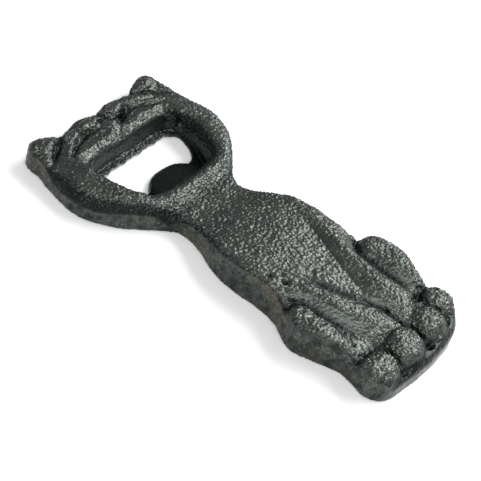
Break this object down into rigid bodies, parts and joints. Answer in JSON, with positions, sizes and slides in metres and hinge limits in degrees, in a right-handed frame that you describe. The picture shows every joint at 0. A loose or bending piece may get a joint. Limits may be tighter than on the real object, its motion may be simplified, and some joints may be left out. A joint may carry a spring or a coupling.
{
  "type": "bottle opener",
  "caption": "Cast-iron souvenir bottle opener shaped as a seated cat, whose wide open mouth takes the crown cap and whose tongue hooks under its rim.",
  "frame": {"origin": "middle of the flat back's bounding rectangle", "axes": "+X across the cat, +Y from its feet to its ears, +Z out of its chest, away from the flat back"},
  "size_m": [0.0634, 0.1334, 0.0112],
  "materials": {
    "cast_iron": "black-waxed rough sand casting"
  },
  "bodies": {
    "root": {"cat_casting": "cast_iron"}
  },
  "joints": []
}
